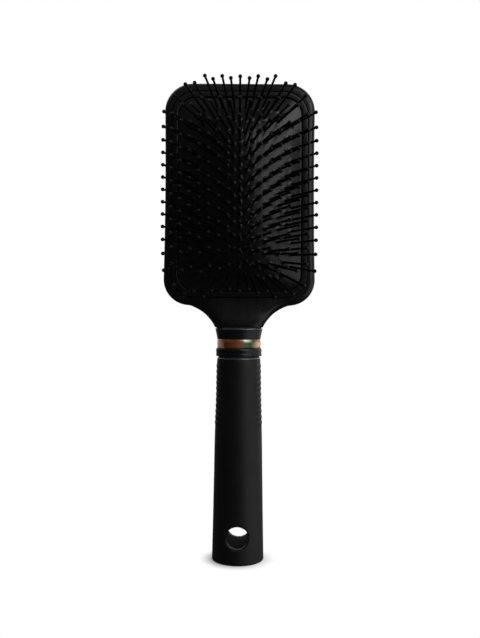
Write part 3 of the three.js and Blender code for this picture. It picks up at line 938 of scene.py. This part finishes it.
def accent_foil():
    """Copper foil under clear lacquer that turns to bronze and green in patches round the ring, with a
    painted highlight along its top edge and a painted glow: it emits its own colour, standing in for
    reflected light.
    """
    look = Look("accent_foil_copper_painted_glow", Metallic=0.7, Coat_Weight=0.4, Coat_Roughness=0.12,
                Emission_Strength=FOIL_PAINTED_GLOW)
    split = look.nodes.new("ShaderNodeSeparateXYZ")
    look.join(look.place, split.inputs[0])
    back = look.math("MULTIPLY", split.outputs["Y"], -1)
    turn = look.math("ARCTAN2", split.outputs["X"], back)
    cloud = look.noise(420, 3, 0.6, stretch=(1, 1, 0.6))
    drift = look.math("MULTIPLY", look.math("SUBTRACT", cloud, 0.5), 0.05)
    around = look.math("ADD", look.math("DIVIDE", turn, 2 * math.pi), 0.5)
    spot = look.math("ADD", around, drift)
    # lower holds the foil's own tints, upper the painted highlight along its top edge
    lower, upper = (
        look.ramp(spot, [(0.5 + angle / 360, tint) for angle, tint in tints])
        for tints in (FOIL_TINTS, FOIL_TOP_HIGHLIGHT_TINTS)
    )
    low, high = node_box("accent_ring")
    start, end = ((low[2] + share * (high[2] - low[2])) * MM for share in FOIL_HIGHLIGHT_EDGE)
    rise = look.spread(split.outputs["Z"], 0, 1, start, end)
    foil = look.blend(rise, lower, upper)
    look.colour(foil)
    # The foil's colour is emitted too, a painted glow in place of reflected light
    look.join(foil, look.shader.inputs["Emission Color"])
    look.rough(look.spread(cloud, 0.24, 0.4))
    look.bump((look.noise(1500, 3, 0.6), 10))
    return look.material


# ---- Assembly ------------------------------------------------------------------------------------

def fit(obj, body, slot, material, *nodes):
    """Gives a piece its material, the body it rides on and the nodes it stands for. slot is not used."""
    obj.data.materials.clear()
    obj.data.materials.append(material)
    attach(obj, body)
    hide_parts(*nodes)
    return obj


def build():
    body = "brush_frame"
    head_plastic = moulded_plastic("head_plastic_satin", 0.004, 0.007, 0.3, 2400, 5)
    frame_plastic = moulded_plastic("frame_plastic_matt", 0.003, 0.006, 0.32, 2400, 10)
    core_plastic = moulded_plastic("core_plastic_matt", 0.004, 0.007, 0.8, 1800, 20, 0.1)
    collar, trim, nylon = collar_plastic(), trim_metal(), pin_nylon()

    fit(make_head(), body, "head_plastic", head_plastic, "paddle_head")
    fit(make_front_frame(), body, "frame_plastic", frame_plastic, "front_frame")
    fit(make_grip(), body, "grip_rubber", grip_rubber(), "grip_sleeve")
    fit(make_core(), body, "core_plastic", core_plastic, "handle_core")

    foil = accent_foil()
    rings = [
        ("upper_trim", "upper_trim_ring", UPPER_TRIM, TRIM_EDGE, "trim_metal", trim),
        ("upper_collar_shell", "upper_collar", UPPER_COLLAR, COLLAR_EDGE, "collar_plastic", collar),
        ("accent_band", "accent_ring", ACCENT_BAND, BAND_EDGE, "accent_foil", foil),
        ("lower_collar_shell", "lower_collar", LOWER_COLLAR, COLLAR_EDGE, "collar_plastic", collar),
        ("lower_trim", "lower_trim_ring", LOWER_TRIM, TRIM_EDGE, "trim_metal", trim),
    ]
    for name, node, outside, edge, slot, material in rings:
        fit(make_ring(name, node, outside, edge), body, slot, material, node)

    cushion = fit(make_cushion(), body, "pad_rubber", cushion_rubber(), "cushion")
    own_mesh(cushion)

    for number, pins in enumerate(PIN_ROWS, 1):
        strip = make_pin_strip(number, pins)
        fit(strip, f"pin_row_{number:02d}", "pin_nylon", nylon, f"pin_strip_{number:02d}")

    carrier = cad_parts["pad_carrier"]
    carrier.data.materials.clear()
    carrier.data.materials.append(core_plastic)


# ---- Stage ---------------------------------------------------------------------------------------

CAMERA_DISTANCE = 400
CAMERA_X = 0.54
CAMERA_Z = 126.65
CAMERA_ROLL = math.radians(-0.316)
LENS = 42.66
SENSOR = 36

FLOOR_HALF = 3000
SHADOW_REACH = 7
SHADOW_SIDES = (-0.012, 0.012)  # X, in metres, between which the contact shadow fades
SHADOW_DEPTHS = (0.75, 0.35)

# The room that the brush reflects: its radiance low down and high up, and a soft glow at the right, behind
ROOM_LOW, ROOM_HIGH = 0.035, 0.14
ROOM_HEIGHTS = (0.2, 0.85)  # sines of the elevations between which it changes
GLOW_TOWARDS = (0.75, 0.45, 0.48)
GLOW = 0.3
GLOW_SPREAD = (0.5, 1)  # cosines of the angles from its middle between which it fades

# Lamps lie this far from a point at the middle of the brush, in metres
LAMP_DISTANCE = 1.2
LAMP_CENTRE_Z = 0.14
# The big softbox at the right, built of bands: elevation, azimuths of its ends, radiance
SOFTBOX_BAND_HEIGHT = 0.33
SOFTBOX_BANDS = [
    (-27, 34, 99, 0.48), (-11, 32, 99, 0.54), (5, 29, 68, 0.7), (20, 22, 57, 1.4), (34, 14, 60, 1.7),
]
# Lamps that light the back: azimuth, elevation, width, height, radiance
REAR_LAMPS = [(180, 12, 2.0, 0.9, 0.5), (-135, 50, 0.9, 0.6, 1.3), (128, 8, 0.7, 0.9, 0.3)]


def make_camera():
    camera = bpy.data.objects.new("camera", bpy.data.cameras.new("camera"))
    bpy.context.scene.collection.objects.link(camera)
    camera.data.lens = LENS
    camera.data.sensor_width = SENSOR
    camera.data.clip_start = 0.01
    camera.location = Vector((CAMERA_X, -CAMERA_DISTANCE, CAMERA_Z)) * MM
    camera.rotation_euler = (math.pi / 2, CAMERA_ROLL, 0)
    bpy.context.scene.camera = camera


def make_lamp(name, azimuth, elevation, width, height, radiance):
    """A rectangular lamp facing the brush. Azimuth 0 is towards the camera, 90 towards +X."""
    data = bpy.data.lights.new(name, "AREA")
    data.shape = "RECTANGLE"
    data.size = width
    data.size_y = height
    data.energy = radiance * math.pi * width * height
    lamp = bpy.data.objects.new(name, data)
    bpy.context.scene.collection.objects.link(lamp)
    a, e = math.radians(azimuth), math.radians(elevation)
    away = Vector((math.sin(a) * math.cos(e), -math.cos(a) * math.cos(e), math.sin(e)))
    lamp.location = Vector((0, 0, LAMP_CENTRE_Z)) + away * LAMP_DISTANCE
    lamp.rotation_euler = away.to_track_quat("Z", "Y").to_euler()
    lamp.visible_camera = False


def make_floor():
    """A white floor that shows only a soft contact shadow, deeper on the side away from the softbox."""
    half = FLOOR_HALF
    points = [(x, y, 0) for x, y in ((-half, -half), (half, -half), (half, half), (-half, half))]
    floor = mesh_object("floor", points, [(0, 1, 2, 3)])
    material = bpy.data.materials.new("floor_white")
    material.use_nodes = True
    nodes, links = material.node_tree.nodes, material.node_tree.links
    nodes.remove(nodes["Principled BSDF"])
    near = nodes.new("ShaderNodeAmbientOcclusion")
    near.inputs["Distance"].default_value = SHADOW_REACH * MM
    near.samples = 16
    place = nodes.new("ShaderNodeTexCoord")
    split = nodes.new("ShaderNodeSeparateXYZ")
    links.new(place.outputs["Object"], split.inputs[0])
    side = map_range(nodes, *SHADOW_SIDES, *SHADOW_DEPTHS)
    links.new(split.outputs["X"], side.inputs["Value"])
    dark = map_range(nodes, 0.5, 1, 1, 0)  # open floor beside a wall is half hidden
    links.new(near.outputs["AO"], dark.inputs["Value"])
    depth = math_node(nodes, "MULTIPLY")
    links.new(dark.outputs["Result"], depth.inputs[0])
    links.new(side.outputs["Result"], depth.inputs[1])
    left = math_node(nodes, "SUBTRACT")
    left.inputs[0].default_value = 1
    links.new(depth.outputs[0], left.inputs[1])
    glow = nodes.new("ShaderNodeEmission")
    links.new(left.outputs[0], glow.inputs["Strength"])
    links.new(glow.outputs["Emission"], nodes["Material Output"].inputs["Surface"])
    floor.data.materials.append(material)
    floor.visible_glossy = False
    floor.visible_diffuse = False
    floor.visible_shadow = False


def make_world():
    """White behind the brush, and a dim room for it to reflect, lighter above and at the right, behind."""
    world = bpy.data.worlds.new("studio")
    world.use_nodes = True
    bpy.context.scene.world = world
    nodes, links = world.node_tree.nodes, world.node_tree.links
    nodes.clear()
    place = nodes.new("ShaderNodeTexCoord")
    split = nodes.new("ShaderNodeSeparateXYZ")
    links.new(place.outputs["Generated"], split.inputs[0])
    height = map_range(nodes, *ROOM_HEIGHTS, ROOM_LOW, ROOM_HIGH)
    links.new(split.outputs["Z"], height.inputs["Value"])
    facing = nodes.new("ShaderNodeVectorMath")
    facing.operation = "DOT_PRODUCT"
    facing.inputs[1].default_value = GLOW_TOWARDS
    links.new(place.outputs["Generated"], facing.inputs[0])
    behind = map_range(nodes, *GLOW_SPREAD, 0, GLOW)
    links.new(facing.outputs["Value"], behind.inputs["Value"])
    total = math_node(nodes, "ADD")
    links.new(height.outputs["Result"], total.inputs[0])
    links.new(behind.outputs["Result"], total.inputs[1])
    room = nodes.new("ShaderNodeBackground")
    room.inputs["Color"].default_value = (1, 1, 1.03, 1)
    links.new(total.outputs[0], room.inputs["Strength"])
    backdrop = nodes.new("ShaderNodeBackground")
    backdrop.inputs["Color"].default_value = (1, 1, 1, 1)
    path = nodes.new("ShaderNodeLightPath")
    mix = nodes.new("ShaderNodeMixShader")
    out = nodes.new("ShaderNodeOutputWorld")
    links.new(path.outputs["Is Camera Ray"], mix.inputs["Fac"])
    links.new(room.outputs[0], mix.inputs[1])
    links.new(backdrop.outputs[0], mix.inputs[2])
    links.new(mix.outputs[0], out.inputs["Surface"])


def make_stage():
    make_floor()
    make_world()
    for k, (elevation, left, right, radiance) in enumerate(SOFTBOX_BANDS):
        width = 2 * LAMP_DISTANCE * math.tan(math.radians((right - left) / 2))
        middle = (left + right) / 2
        make_lamp(f"softbox_{k}", middle, elevation, width, SOFTBOX_BAND_HEIGHT, radiance)
    for k, lamp in enumerate(REAR_LAMPS):
        make_lamp(f"rear_lamp_{k}", *lamp)
    bpy.context.scene.view_settings.view_transform = "Standard"


make_camera()
make_stage()
build()
